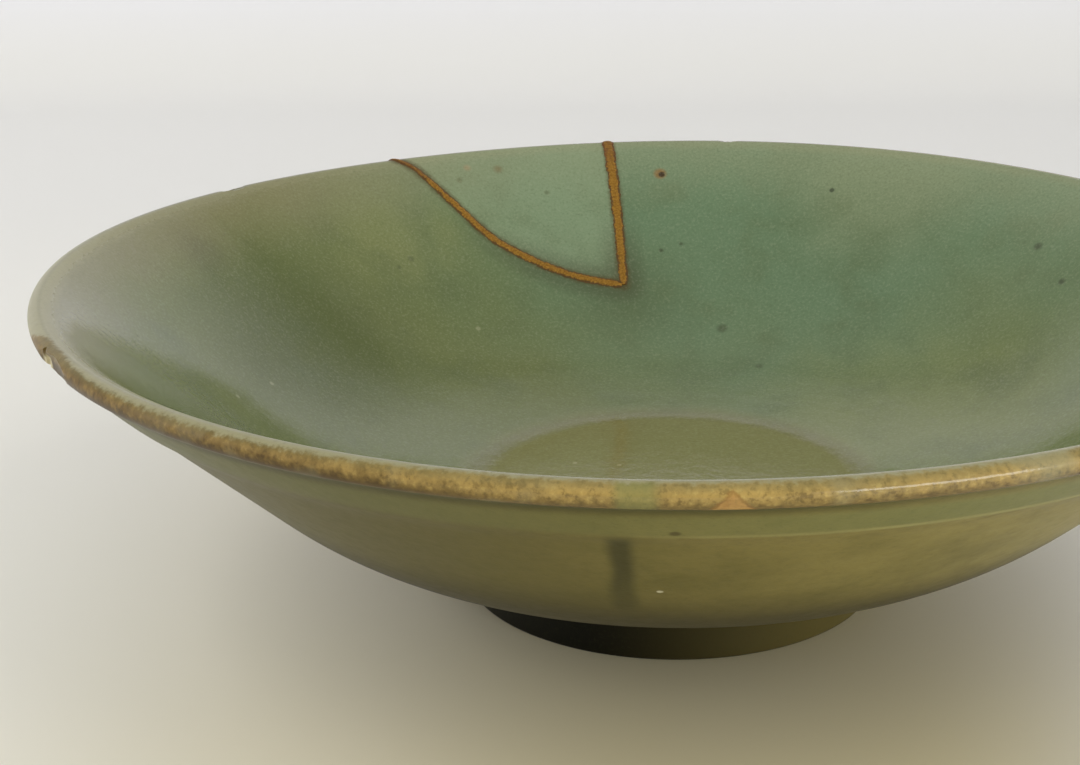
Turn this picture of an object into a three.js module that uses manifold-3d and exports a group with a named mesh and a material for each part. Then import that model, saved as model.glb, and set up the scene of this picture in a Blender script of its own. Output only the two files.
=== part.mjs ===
// A shallow celadon bowl with an everted, rolled lip and a low foot ring. A piece of the wall once
// broke out at the back; it is set again with lacquer, and the joint is drawn over in gold.
//
// Millimetres, +Z up. The origin is on the bowl's axis, in the plane that the foot stands on.
// -Y is the front. Azimuths are counted from +X towards +Y.
import * as THREE from "three";
import { mergeVertices } from "three/addons/utils/BufferGeometryUtils.js";
import Module from "manifold-3d";

const wasm = await Module();
wasm.setup();

// Overall sizes
const RIM_RADIUS = 85; // outermost point of the lip
const HEIGHT = 46.5; // crest of the lip
const FACETS_ROUND = 72;

// Inside of the bowl. Slopes are degrees above the horizontal, going outwards. A wall climbs along a
// gentle arc, then along a tighter bend, then straight on.
const WELL_RADIUS = 26; // flat round well in the middle of the floor
const WELL_STEP = 0.8; // how far the well lies below the wall's first point
const WELL_STEP_RUN = 2.4;
const INNER_SLOPE = 42.2; // straight part of the wall, and the start of the flare
const INNER_SLOPES = [9, 16, INNER_SLOPE];
const INNER_ARC_RADII = [124, 48];
const FLARE_RADIUS = 18; // the wall turns outwards here, towards the lip
const FLARE_END_SLOPE = 28;
const LIP_RADIUS = 1.4; // rolled lip
const LIP_UNDERSIDE_SLOPE = -150;

// Outside of the bowl
const GROOVE_RADIUS = 83.3; // tooled line under the lip
const OUTER_SLOPE = 42.6;
const OUTER_SLOPES = [14, 20, OUTER_SLOPE];
const OUTER_ARC_RADII = [145, 48];
const BAND_RADIUS = 79.2; // the band under the lip stands proudest here
const BAND_END_RADIUS = 77.6;
const BAND_PROUD = 0.4;

// Foot ring
const FOOT_RADIUS = 29.5;
const FOOT_HEIGHT = 7.9;
const FOOT_TAPER = 0.2; // the ring is this much narrower at the bottom
const FOOT_BEVEL = 0.6;
const FOOT_INNER_RADIUS = 25;
const FOOT_INNER_TAPER = 0.8;
const RECESS_DEPTH = 5.6; // hollow of the base, at the foot's inner wall
const RECESS_CENTRE_DEPTH = 6.1;

// The piece that broke out. Its edges are drawn on a plane that touches the wall's inside at the
// piece's middle: x runs along the rim, y up the slope.
const SHERD_AZIMUTH = 109;
const SHERD_RADIUS = 70.4;
const SHERD_CORNER = [-11.5, -15.2];
const CURVED_CRACK = [[27.6, 16.2], [20.9, 12.6], [14.6, 4.4], [8.6, -3.5], [-1.7, -10.9], SHERD_CORNER];
const STRAIGHT_CRACK = [SHERD_CORNER, [-14, 1], [-15.8, 18.5]];
const CRACK_STEPS = 10;
const CUTTER_DEPTH = 30; // the cuts go right through the wall

// The lacquer that fills the crack, and its gilded cap on both faces of the wall and over the lip
const CRACK_HALF_WIDTH = 0.35;
const FILL_HALF_WIDTH = 0.25;
const CURVED_CAP_HALF_WIDTHS = [0.45, 0.65];
const STRAIGHT_CAP_HALF_WIDTHS = [0.6, 0.95];
const CAP_GAP = 0.06; // between the cap's underside and the glaze
const CAP_TOP = 0.36;

// Nicks in the lip: azimuth, radius and height of the middle, and half sizes outwards, along and up
const NICKS = [
  { azimuth: -149.6, radius: 85.4, height: 45.7, halves: [1.1, 0.75, 1.1] },
  { azimuth: -86.1, radius: 85.6, height: 43.9, halves: [1.0, 3.2, 1.5] },
  { azimuth: 148.2, radius: 84.2, height: 47.7, halves: [2.4, 5.2, 1.7] },
  { azimuth: 83, radius: 84.2, height: 47.7, halves: [2.4, 3.6, 1.5] },
];

const radians = THREE.MathUtils.degToRad;

// A point of the section: x is the radius, y the height.
const point = (radius, height) => new THREE.Vector2(radius, height);

// The unit normal, on the upper side, of a line that climbs outwards at a slope.
const upperNormal = (slope) => point(-Math.sin(radians(slope)), Math.cos(radians(slope)));

// Points of an arc between two slopes. side is 1 where the arc bulges upwards and -1 where it is hollow.
function arc(centre, radius, side, fromSlope, toSlope, steps) {
  const points = [];
  for (let i = 0; i <= steps; i++) {
    const slope = fromSlope + ((toSlope - fromSlope) * i) / steps;
    points.push(centre.clone().addScaledVector(upperNormal(slope), side * radius));
  }
  return points;
}

// The lip's roll, from the flare over the crest to its underside.
function lipSection() {
  const centre = point(RIM_RADIUS - LIP_RADIUS, HEIGHT - LIP_RADIUS);
  return arc(centre, LIP_RADIUS, 1, FLARE_END_SLOPE, LIP_UNDERSIDE_SLOPE, 7);
}

// The last part of the inside, where the wall turns outwards to meet the lip.
function flareSection() {
  const centre = lipSection()[0].addScaledVector(upperNormal(FLARE_END_SLOPE), -FLARE_RADIUS);
  return arc(centre, FLARE_RADIUS, 1, INNER_SLOPE, FLARE_END_SLOPE, 3).slice(0, -1);
}

// The hollow part of a wall, climbing outwards from a point: a gentle arc, then a tighter bend.
function hollowCurve(start, slopes, radii) {
  const gentleCentre = start.clone().addScaledVector(upperNormal(slopes[0]), radii[0]);
  const gentle = arc(gentleCentre, radii[0], -1, slopes[0], slopes[1], 2);
  const bendCentre = gentle[2].clone().addScaledVector(upperNormal(slopes[1]), radii[1]);
  return [...gentle, ...arc(bendCentre, radii[1], -1, slopes[1], slopes[2], 5).slice(1)];
}

// The inside, from the well's edge out to the lip. The curve is lifted until its end lines up with
// the straight part of the wall.
function innerWallSection() {
  const flare = flareSection();
  const curve = hollowCurve(point(WELL_RADIUS + WELL_STEP_RUN / 2, 0), INNER_SLOPES, INNER_ARC_RADII);
  const end = curve.at(-1);
  const lift = flare[0].y - (flare[0].x - end.x) * Math.tan(radians(INNER_SLOPE)) - end.y;
  return [...curve.map((p) => point(p.x, p.y + lift)), ...flare];
}

// The floor, from the axis to the well's edge, where it steps up to the wall.
function wellSection(edge) {
  const points = [point(0, edge.y - WELL_STEP)];
  const steps = 3;
  for (let i = 0; i < steps; i++) {
    const share = i / steps;
    const rise = (WELL_STEP * (1 - Math.cos(Math.PI * share))) / 2;
    points.push(point(edge.x - WELL_STEP_RUN * (1 - share), edge.y - WELL_STEP + rise));
  }
  return points;
}

// How far the band under the lip stands proud of the outer flank at a radius.
function bandProud(radius) {
  if (radius > BAND_RADIUS) {
    const share = (GROOVE_RADIUS - radius) / (GROOVE_RADIUS - BAND_RADIUS);
    return BAND_PROUD * Math.sin((Math.PI / 2) * share);
  }
  const share = (radius - BAND_END_RADIUS) / (BAND_RADIUS - BAND_END_RADIUS);
  return share > 0 ? BAND_PROUD * share ** 2 * (3 - 2 * share) : 0;
}

// The outside, from the groove under the lip down to the top of the foot.
function outerWallSection() {
  const curve = hollowCurve(point(FOOT_RADIUS, FOOT_HEIGHT), OUTER_SLOPES, OUTER_ARC_RADII).reverse();
  const outwards = upperNormal(OUTER_SLOPE).negate();
  const flank = [GROOVE_RADIUS, 81.6, BAND_RADIUS, BAND_END_RADIUS].map((radius) => {
    const height = curve[0].y + (radius - curve[0].x) * Math.tan(radians(OUTER_SLOPE));
    return point(radius, height).addScaledVector(outwards, bandProud(radius));
  });
  return [...flank, ...curve];
}

// The foot ring and the hollow base, ending on the axis.
function footSection() {
  const bottomRadius = FOOT_RADIUS - FOOT_TAPER;
  return [
    point(bottomRadius, FOOT_BEVEL),
    point(bottomRadius - FOOT_BEVEL, 0),
    point(FOOT_INNER_RADIUS + FOOT_BEVEL, 0),
    point(FOOT_INNER_RADIUS, FOOT_BEVEL),
    point(FOOT_INNER_RADIUS - FOOT_INNER_TAPER, RECESS_DEPTH - FOOT_BEVEL),
    point(FOOT_INNER_RADIUS - FOOT_INNER_TAPER - FOOT_BEVEL, RECESS_DEPTH),
    point(0, RECESS_CENTRE_DEPTH),
  ];
}

// The whole section of the bowl, from the axis inside to the axis underneath.
function bowlSection() {
  const inner = innerWallSection();
  return [...wellSection(inner[0]), ...inner, ...lipSection(), ...outerWallSection(), ...footSection()];
}

// The section of the mended part of the wall, grown all round, as a closed line.
function grownWallSection(growth) {
  const line = [...innerWallSection(), ...lipSection(), ...outerWallSection()];
  const grown = line.map((p, i) => {
    const along = line[Math.min(i + 1, line.length - 1)].clone().sub(line[Math.max(i - 1, 0)]).normalize();
    return point(p.x - along.y * growth, p.y + along.x * growth);
  });
  return [...grown, grown[0].clone()];
}

// A closed geometry as a solid that can be joined and cut.
function solid(geometry) {
  const bare = geometry.clone();
  bare.deleteAttribute("normal");
  bare.deleteAttribute("uv");
  const merged = mergeVertices(bare, 1e-4);
  return new wasm.Manifold(
    new wasm.Mesh({
      numProp: 3,
      vertProperties: merged.attributes.position.array,
      triVerts: new Uint32Array(merged.index.array),
    }),
  );
}

// A solid as a geometry, with a normal for each face.
function geometryOf(made) {
  const mesh = made.getMesh();
  const geometry = new THREE.BufferGeometry();
  geometry.setAttribute("position", new THREE.BufferAttribute(mesh.vertProperties, 3));
  geometry.setIndex(new THREE.BufferAttribute(mesh.triVerts, 1));
  const faceted = geometry.toNonIndexed();
  faceted.computeVertexNormals();
  return faceted;
}

// A section turned about the bowl's axis. LatheGeometry turns about Y, so it is stood up. The section
// runs from the inside out over the lip, and its faces are put the right way out.
function turned(section) {
  const lathe = new THREE.LatheGeometry(section, FACETS_ROUND).rotateX(Math.PI / 2);
  const made = solid(lathe);
  if (made.volume() > 0) return made;
  const index = lathe.index.array;
  for (let i = 0; i < index.length; i += 3) [index[i + 1], index[i + 2]] = [index[i + 2], index[i + 1]];
  return solid(lathe);
}

// The frame that the cracks are drawn in: x along the rim, y up the slope, z out of the wall's inside.
function sherdFrame() {
  const azimuth = radians(SHERD_AZIMUTH);
  const slope = radians(INNER_SLOPE);
  const outwards = new THREE.Vector3(Math.cos(azimuth), Math.sin(azimuth), 0);
  const along = new THREE.Vector3(-Math.sin(azimuth), Math.cos(azimuth), 0);
  const upSlope = outwards.clone().multiplyScalar(Math.cos(slope)).setZ(Math.sin(slope));
  const normal = new THREE.Vector3().crossVectors(along, upSlope);
  const wallTop = flareSection()[0];
  const height = wallTop.y - (wallTop.x - SHERD_RADIUS) * Math.tan(slope);
  const origin = outwards.clone().multiplyScalar(SHERD_RADIUS).setZ(height);
  return new THREE.Matrix4().makeBasis(along, upSlope, normal).setPosition(origin);
}

// A flat outline in that frame, pushed right through the wall.
function cutter(outline) {
  const shape = new THREE.Shape(outline);
  const prism = new THREE.ExtrudeGeometry(shape, { depth: CUTTER_DEPTH, bevelEnabled: false });
  return solid(prism.translate(0, 0, -CUTTER_DEPTH / 2).applyMatrix4(sherdFrame()));
}

// The middle line of a crack, as evenly spaced points.
function crackLine(points) {
  const curve = new THREE.SplineCurve(points.map(([x, y]) => point(x, y)));
  return curve.getSpacedPoints(CRACK_STEPS);
}

// The outline of a strip along a line, with half its width at the line's start and end.
function strip(line, startHalf, endHalf) {
  const sides = [[], []];
  line.forEach((p, i) => {
    const along = line[Math.min(i + 1, line.length - 1)].clone().sub(line[Math.max(i - 1, 0)]).normalize();
    const half = startHalf + ((endHalf - startHalf) * i) / (line.length - 1);
    sides[0].push(point(p.x - along.y * half, p.y + along.x * half));
    sides[1].unshift(point(p.x + along.y * half, p.y - along.x * half));
  });
  return [...sides[0], ...sides[1]];
}

// Both cracks as one cutter. Each strip runs on past the corner, so that they meet in a full corner.
function crackCutter([curvedStart, curvedEnd], [straightStart, straightEnd]) {
  const runOn = (line, end) => {
    const next = line.at(end === 0 ? 1 : -2);
    const tip = line.at(end);
    const past = tip.clone().addScaledVector(tip.clone().sub(next).normalize(), curvedEnd);
    return end === 0 ? [past, ...line] : [...line, past];
  };
  const curved = cutter(strip(runOn(crackLine(CURVED_CRACK), -1), curvedStart, curvedEnd));
  const straight = cutter(strip(runOn(crackLine(STRAIGHT_CRACK), 0), straightStart, straightEnd));
  return curved.add(straight);
}

// A nick in the lip, as the ellipsoid that is missing.
function nick({ azimuth, radius, height, halves }) {
  const ball = new THREE.SphereGeometry(1, 20, 12).scale(...halves).translate(radius, 0, height);
  return solid(ball.rotateZ(radians(azimuth)));
}

const wholeBowl = NICKS.reduce((bowl, missing) => bowl.subtract(nick(missing)), turned(bowlSection()));
const insideCracks = cutter([...crackLine(CURVED_CRACK), ...crackLine(STRAIGHT_CRACK).slice(1)]);
const same = (half) => [half, half];
const openCracks = crackCutter(same(CRACK_HALF_WIDTH), same(CRACK_HALF_WIDTH));
const filledCracks = crackCutter(same(FILL_HALF_WIDTH), same(FILL_HALF_WIDTH));
const gildedStrips = crackCutter(CURVED_CAP_HALF_WIDTHS, STRAIGHT_CAP_HALF_WIDTHS);

// The bowl without the piece that broke out
const bowlBody = wholeBowl.subtract(insideCracks).subtract(openCracks);

// The piece that broke out and is set again
const mendedSherd = wholeBowl.intersect(insideCracks).subtract(openCracks);

// Lacquer through the wall, under a gilded cap on the inside, over the lip and on the outside
const capOuter = turned(grownWallSection(CAP_TOP));
const capInner = turned(grownWallSection(CAP_GAP));
const gildedCap = capOuter.subtract(capInner).intersect(gildedStrips);
const goldSeam = capOuter.intersect(filledCracks).add(gildedCap);

const bowl = new THREE.Group();

function addPiece(name, made, colour, roughness, metalness) {
  const material = new THREE.MeshStandardMaterial({ color: colour, roughness, metalness });
  const mesh = new THREE.Mesh(geometryOf(made), material);
  mesh.name = name;
  bowl.add(mesh);
}

addPiece("bowl_body", bowlBody, 0x7d8660, 0.3, 0);
addPiece("mended_sherd", mendedSherd, 0x7f9070, 0.3, 0);
addPiece("gold_seam", goldSeam, 0xb0822f, 0.45, 0.8);

export default bowl;
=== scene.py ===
"""The looks of a shallow celadon bowl with a gold-mended break at the back.

The bowl, the mended piece and the gold seam are built again from nearly the same section as the CAD
model, finely enough for a glossy glaze. Sizes are millimetres until a piece is finished; Blender has
metres. -Y is the front, and azimuths are counted from +X towards +Y.
"""

import bmesh
import bpy
import numpy as np
from mathutils import Matrix, Vector, kdtree


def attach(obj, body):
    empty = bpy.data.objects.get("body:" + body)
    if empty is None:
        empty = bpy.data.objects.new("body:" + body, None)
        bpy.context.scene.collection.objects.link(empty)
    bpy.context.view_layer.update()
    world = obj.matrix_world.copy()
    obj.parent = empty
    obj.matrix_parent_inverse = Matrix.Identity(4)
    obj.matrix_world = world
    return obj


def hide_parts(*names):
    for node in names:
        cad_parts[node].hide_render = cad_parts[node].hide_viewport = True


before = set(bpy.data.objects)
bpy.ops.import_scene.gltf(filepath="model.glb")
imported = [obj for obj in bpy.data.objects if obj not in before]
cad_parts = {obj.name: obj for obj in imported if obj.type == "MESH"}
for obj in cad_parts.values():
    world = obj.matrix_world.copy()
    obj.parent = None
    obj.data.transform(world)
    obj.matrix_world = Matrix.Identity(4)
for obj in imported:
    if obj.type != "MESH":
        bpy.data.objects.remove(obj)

MM = 0.001

# The section. It is the CAD model's, but for the well's edge and the band under the lip, which follow
# the photograph more closely. Slopes are degrees above the horizontal, going outwards.
RIM_RADIUS = 85.0
HEIGHT = 46.5
LIP_RADIUS = 1.4
LIP_CENTRE = (RIM_RADIUS - LIP_RADIUS, HEIGHT - LIP_RADIUS)
WALL_START_RADIUS = 27.2  # the wall's curve starts here, and is cut off at the well's edge
WELL_RADIUS = 29.8
WELL_STEP = 0.45
WELL_EDGE_RUN = 4.2
WELL_EDGE_STEPS = 12
INNER_SLOPES = (9.0, 16.0, 42.2)
INNER_ARC_RADII = (124.0, 48.0)
FLARE_RADIUS = 18.0
FLARE_END_SLOPE = 28.0
LIP_UNDERSIDE_SLOPE = -150.0
GROOVE_RADIUS = 83.3
OUTER_SLOPES = (14.0, 20.0, 42.6)
OUTER_ARC_RADII = (145.0, 48.0)
BAND_RADIUS = 78.5
BAND_END_RADIUS = 75.7
BAND_PROUD = 0.32
FOOT_RADIUS = 29.5
FOOT_HEIGHT = 7.9
FOOT_TAPER = 0.2
FOOT_INNER_RADIUS = 25.0
FOOT_INNER_TAPER = 0.8
FOOT_BEVEL = 0.6
RECESS_DEPTH = 5.6
RECESS_CENTRE_DEPTH = 6.1
SEGMENTS_ROUND = 420
OUTSIDE_FROM = 3.8  # the outer wall starts this far from the crest, along the section

# The throwing is not quite true: (waves round the rim, millimetres, azimuth of a crest in degrees).
RIM_RISES = ((1, 0.16, -143.0), (2, 0.06, -79.0), (3, 0.26, -48.0), (4, 0.07, -17.0))
RIM_SWELLS = ((2, 0.06, -56.0), (3, 0.09, 32.0), (4, 0.05, -7.0))
WARP_FROM = 30.0

# The break. Its edges are drawn on a plane that touches the inside at the broken piece's middle: x runs
# along the rim, y up the slope. The cutter goes right through the wall and ends above the rim.
SHERD_AZIMUTH = 109.0
SHERD_RADIUS = 70.4
SHERD_CORNER = (-11.7, -15.2)
CURVED_CRACK = ((27.0, 16.2), (20.9, 12.6), (14.6, 4.4), (8.6, -3.5), (-1.7, -10.9), SHERD_CORNER)
STRAIGHT_CRACK = (SHERD_CORNER, (-14.1, 1.0), (-16.2, 18.5))
CUTTER_DEPTH = 30.0
CUTTER_TOP = 24.0

# Nicks in the lip: azimuth, radius and height of the middle, and half sizes outwards, along and up.
# The first two make one broad nick with a deeper notch.
NICKS = (
    (-146.5, 85.6, 43.9, (1.5, 7.5, 3.0)),
    (-149.0, 85.3, 44.0, (1.6, 0.9, 2.6)),
    (-86.1, 85.6, 43.9, (1.0, 3.2, 1.5)),
    (148.2, 84.2, 47.7, (2.4, 5.2, 1.7)),
    (83.0, 84.2, 47.7, (2.4, 3.6, 1.5)),
)

# The seam: how far apart its samples are, the sizes of its dome, lacquer skirt and root, and how much
# its middle, its edges and its height wander. Edges shorter than SLIVER are dissolved.
SEAM_STEP = 0.14
DOME_HEIGHT = 0.2
SKIRT_WIDTH = 0.22
SKIRT_HEIGHT = 0.04
ROOT_DEPTH = 0.7
SKIRT_SINK = 0.07
SEAM_WANDER = 0.08
EDGE_WANDER = 0.2
DOME_LUMPS = 0.22
SLIVER = 0.003

# Half widths of the gold, at distances from the crest along the section
STRAIGHT_WIDTHS_AT = (-36, -8, 4, 34)
STRAIGHT_HALF_WIDTHS = (0.5, 0.75, 0.8, 0.55)
CURVED_WIDTHS_AT = (-34, -10, -3, 5, 34)
CURVED_HALF_WIDTHS = (0.58, 0.55, 0.26, 0.4, 0.5)
SHARP_ANGLE = np.radians(38)

# The camera, fitted to the bowl's outlines in the photograph
CAMERA_PLACE = (0.0, -233.62, 105.69)
CAMERA_TURNS = (-4.458, 18.338, -1.002)  # yaw, pitch downwards and roll, in degrees
SENSOR_WIDTH = 36.0
LENS = 58.57

# The light. The sky's strengths depend on the direction. The soft boxes have a place and a size in
# metres, a power in watts, a tint, and whether the glaze mirrors them.
SKY_TINT = (1.0, 0.985, 0.945, 1.0)
SKY_OVERHEAD = 0.38
SKY_AT_SIDES = 1.9
SKY_IN_FRONT = 0.17
SKY_BEHIND = 0.56
SOFT_BOXES = (
    ("left_box", (-0.68, -0.22, 0.66), (0.85, 0.85), 5.4, (1.0, 0.98, 0.95), False),
    ("right_box", (0.66, -0.28, 0.62), (0.75, 0.75), 2.6, (1.0, 0.97, 0.92), False),
    ("window", (0.62, -0.74, 0.2), (0.5, 0.2), 2.0, (0.94, 0.98, 1.0), True),
)
LIGHTS_TARGET = (0.0, 0.0, 0.03)


# The section

def upper_normal(slope):
    angle = np.radians(slope)
    return np.stack([-np.sin(angle), np.cos(angle)], axis=-1)


def arc(centre, radius, side, from_slope, to_slope, steps):
    """Points of an arc between two slopes; side is 1 where it bulges up and -1 where it is hollow."""
    slopes = np.linspace(from_slope, to_slope, steps + 1)
    return np.asarray(centre) + side * radius * upper_normal(slopes)


def hollow_curve(start, slopes, radii):
    """The hollow part of a wall, climbing outwards from a point: a gentle arc, then a tighter bend."""
    gentle_centre = np.asarray(start) + radii[0] * upper_normal(slopes[0])
    gentle = arc(gentle_centre, radii[0], -1, slopes[0], slopes[1], 10)
    bend_centre = gentle[-1] + radii[1] * upper_normal(slopes[1])
    bend = arc(bend_centre, radii[1], -1, slopes[1], slopes[2], 20)
    return np.vstack([gentle, bend[1:]])


def straight(start, end, steps):
    """Points on a line between two points, without its ends."""
    shares = np.arange(1, steps)[:, None] / steps
    return np.asarray(start) * (1 - shares) + np.asarray(end) * shares


def inner_section():
    """From the axis over the well and up the inside to the lip."""
    lip_start = np.asarray(LIP_CENTRE) + LIP_RADIUS * upper_normal(FLARE_END_SLOPE)
    flare_centre = lip_start - FLARE_RADIUS * upper_normal(FLARE_END_SLOPE)
    flare = arc(flare_centre, FLARE_RADIUS, 1, INNER_SLOPES[2], FLARE_END_SLOPE, 10)[:-1]
    curve = hollow_curve((WALL_START_RADIUS, 0.0), INNER_SLOPES, INNER_ARC_RADII)
    run = flare[0][0] - curve[-1][0]
    curve[:, 1] += flare[0][1] - run * np.tan(np.radians(INNER_SLOPES[2])) - curve[-1][1]
    edge = (WELL_RADIUS, np.interp(WELL_RADIUS, curve[:, 0], curve[:, 1]))
    curve = np.vstack([edge, curve[curve[:, 0] > WELL_RADIUS + 0.3]])
    edge_slope = (curve[1][1] - curve[0][1]) / (curve[1][0] - curve[0][0])
    shares = np.arange(WELL_EDGE_STEPS) / WELL_EDGE_STEPS
    eased = 3 * shares ** 2 - 2 * shares ** 3
    turn_up = (shares ** 3 - shares ** 2) * WELL_EDGE_RUN * edge_slope
    step = np.stack([
        curve[0][0] - WELL_EDGE_RUN * (1 - shares),
        curve[0][1] - WELL_STEP * (1 - eased) + turn_up,
    ], axis=-1)
    middle = np.array([0.0, step[0][1]])
    floor = straight(middle, step[0], 8)
    wall = straight(curve[-1], flare[0], 8)
    return np.vstack([middle, floor, step, curve, wall, flare])


def lip_section():
    return arc(LIP_CENTRE, LIP_RADIUS, 1, FLARE_END_SLOPE, LIP_UNDERSIDE_SLOPE, 26)


def band_proud(radius):
    """How far the band under the lip stands proud of the flank."""
    above = np.clip((GROOVE_RADIUS - radius) / (GROOVE_RADIUS - BAND_RADIUS), 0, 1)
    below = np.clip((radius - BAND_END_RADIUS) / (BAND_RADIUS - BAND_END_RADIUS), 0, 1)
    eased = below ** 2 * (3 - 2 * below)
    return BAND_PROUD * np.where(radius > BAND_RADIUS, np.sin(np.pi / 2 * above), eased)


def outer_section():
    """From the groove under the lip down to the top of the foot."""
    curve = hollow_curve((FOOT_RADIUS, FOOT_HEIGHT), OUTER_SLOPES, OUTER_ARC_RADII)[::-1]
    band = np.linspace(GROOVE_RADIUS, BAND_END_RADIUS, 20)
    radii = np.concatenate([band, np.linspace(BAND_END_RADIUS, curve[0][0], 12)[1:-1]])
    heights = curve[0][1] + (radii - curve[0][0]) * np.tan(np.radians(OUTER_SLOPES[2]))
    outwards = -upper_normal(OUTER_SLOPES[2])
    flank = np.stack([radii, heights], axis=-1) + band_proud(radii)[:, None] * outwards
    return np.vstack([flank, curve])


def foot_section():
    """The foot ring with rounded edges, and the hollow base up to the axis."""
    bottom = FOOT_RADIUS - FOOT_TAPER
    quarter = np.radians(np.linspace(0, 90, 6))
    across, up = FOOT_BEVEL * (1 - np.cos(quarter)), FOOT_BEVEL * (1 - np.sin(quarter))
    outer_edge = np.stack([bottom - across, up], axis=-1)
    inner_edge = np.stack([FOOT_INNER_RADIUS + up, across], axis=-1)
    wall_top = (FOOT_INNER_RADIUS - FOOT_INNER_TAPER, RECESS_DEPTH - FOOT_BEVEL)
    base_edge = (wall_top[0] - FOOT_BEVEL, RECESS_DEPTH)
    middle = (0.0, RECESS_CENTRE_DEPTH)
    junction = (FOOT_RADIUS, FOOT_HEIGHT)
    return np.vstack([
        straight(junction, outer_edge[0], 8),
        outer_edge,
        straight(outer_edge[-1], inner_edge[0], 4),
        inner_edge,
        straight(inner_edge[-1], wall_top, 5),
        [wall_top, base_edge],
        straight(base_edge, middle, 6),
        [middle],
    ])


SECTION = np.vstack([inner_section(), lip_section(), outer_section(), foot_section()])
STEPS = np.r_[0.0, np.cumsum(np.hypot(*np.diff(SECTION, axis=0).T))]
CREST_STEP = STEPS[np.argmax(SECTION[:, 1])]
ALONG = STEPS - CREST_STEP  # distance from the crest along the section, less than 0 on the inside


def section_at(along):
    """The section's point and its outward unit normal at a distance from the crest."""
    place = np.stack([np.interp(along, ALONG, SECTION[:, k]) for k in (0, 1)], axis=-1)
    ahead = np.stack([np.interp(along + 0.15, ALONG, SECTION[:, k]) for k in (0, 1)], axis=-1)
    behind = np.stack([np.interp(along - 0.15, ALONG, SECTION[:, k]) for k in (0, 1)], axis=-1)
    run = ahead - behind
    run /= np.linalg.norm(run, axis=-1, keepdims=True)
    return place, np.stack([-run[..., 1], run[..., 0]], axis=-1)


def nearest_along(radii, heights):
    """For points near the surface, the distance from the crest of the nearest point of the section."""
    starts, ends = SECTION[:-1], SECTION[1:]
    runs = ends - starts
    lengths = np.maximum((runs ** 2).sum(1), 1e-12)
    found = np.empty(len(radii))
    for first in range(0, len(radii), 4000):
        here = np.stack([radii[first:first + 4000], heights[first:first + 4000]], axis=-1)[:, None, :]
        shares = np.clip(((here - starts) * runs).sum(2) / lengths, 0, 1)
        gaps = ((starts + shares[..., None] * runs - here) ** 2).sum(2)
        best = gaps.argmin(1)
        rows = np.arange(len(best))
        found[first:first + 4000] = ALONG[best] + shares[rows, best] * np.sqrt(lengths[best])
    return found


def warped(points):
    """Moves points of the true bowl to where the thrown one has them."""
    radii = np.hypot(points[:, 0], points[:, 1])
    azimuths = np.arctan2(points[:, 1], points[:, 0])
    share = np.clip((radii - WARP_FROM) / (RIM_RADIUS - WARP_FROM), 0, 1.05) ** 2

    def round_rim(waves_round):
        return sum(
            size * np.cos(count * (azimuths - np.radians(crest)))
            for count, size, crest in waves_round
        )

    stretch = 1 + share * round_rim(RIM_SWELLS) / np.maximum(radii, 1.0)
    x, y, z = points.T
    return np.stack([x * stretch, y * stretch, z + share * round_rim(RIM_RISES)], axis=-1)


# Meshes

def new_object(name, points, faces):
    mesh = bpy.data.meshes.new(name)
    mesh.from_pydata([tuple(p) for p in points], [], faces)
    mesh.update()
    made = bpy.data.objects.new(name, mesh)
    bpy.context.scene.collection.objects.link(made)
    return made


def points_of(piece):
    flat = np.empty(len(piece.data.vertices) * 3, np.float32)
    piece.data.vertices.foreach_get("co", flat)
    return flat.reshape(-1, 3).astype(float)


def set_points(piece, points):
    piece.data.vertices.foreach_set("co", np.asarray(points, np.float32).ravel())
    piece.data.update()


def set_attribute(piece, name, values):
    attribute = piece.data.attributes.new(name, "FLOAT", "POINT")
    attribute.data.foreach_set("value", np.asarray(values, np.float32))


def set_along(piece, points):
    """Keeps how far each point is from the crest along the section."""
    radii = np.hypot(points[:, 0], points[:, 1])
    set_attribute(piece, "along", nearest_along(radii, points[:, 2]))


def whole_bowl(name):
    """The section turned about the axis, as one closed mesh."""
    ring = SECTION[1:-1]
    turns = 2 * np.pi * np.arange(SEGMENTS_ROUND) / SEGMENTS_ROUND
    points = np.stack([
        np.outer(ring[:, 0], np.cos(turns)),
        np.outer(ring[:, 0], np.sin(turns)),
        np.repeat(ring[:, 1:], SEGMENTS_ROUND, axis=1),
    ], axis=-1).reshape(-1, 3)
    top, bottom = len(points), len(points) + 1
    points = np.vstack([points, [0, 0, SECTION[0][1]], [0, 0, SECTION[-1][1]]])
    faces = []
    last = len(ring) - 1
    for k in range(SEGMENTS_ROUND):
        after = (k + 1) % SEGMENTS_ROUND
        faces.append((top, k, after))
        for row in range(last):
            a, b = row * SEGMENTS_ROUND, (row + 1) * SEGMENTS_ROUND
            faces.append((a + k, b + k, b + after, a + after))
        faces.append((bottom, last * SEGMENTS_ROUND + after, last * SEGMENTS_ROUND + k))
    return new_object(name, points, faces)


def cut(piece, cutter, operation):
    """Applies a boolean to a mesh, and takes the cutter away."""
    modifier = piece.modifiers.new("cut", "BOOLEAN")
    modifier.operation = operation
    modifier.object = cutter
    modifier.solver = "MANIFOLD"
    bpy.context.view_layer.update()
    evaluated = piece.evaluated_get(bpy.context.evaluated_depsgraph_get())
    result = bpy.data.meshes.new_from_object(evaluated)
    piece.modifiers.clear()
    old = piece.data
    piece.data = result
    bpy.data.meshes.remove(old)
    used = cutter.data
    bpy.data.objects.remove(cutter)
    bpy.data.meshes.remove(used)


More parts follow.
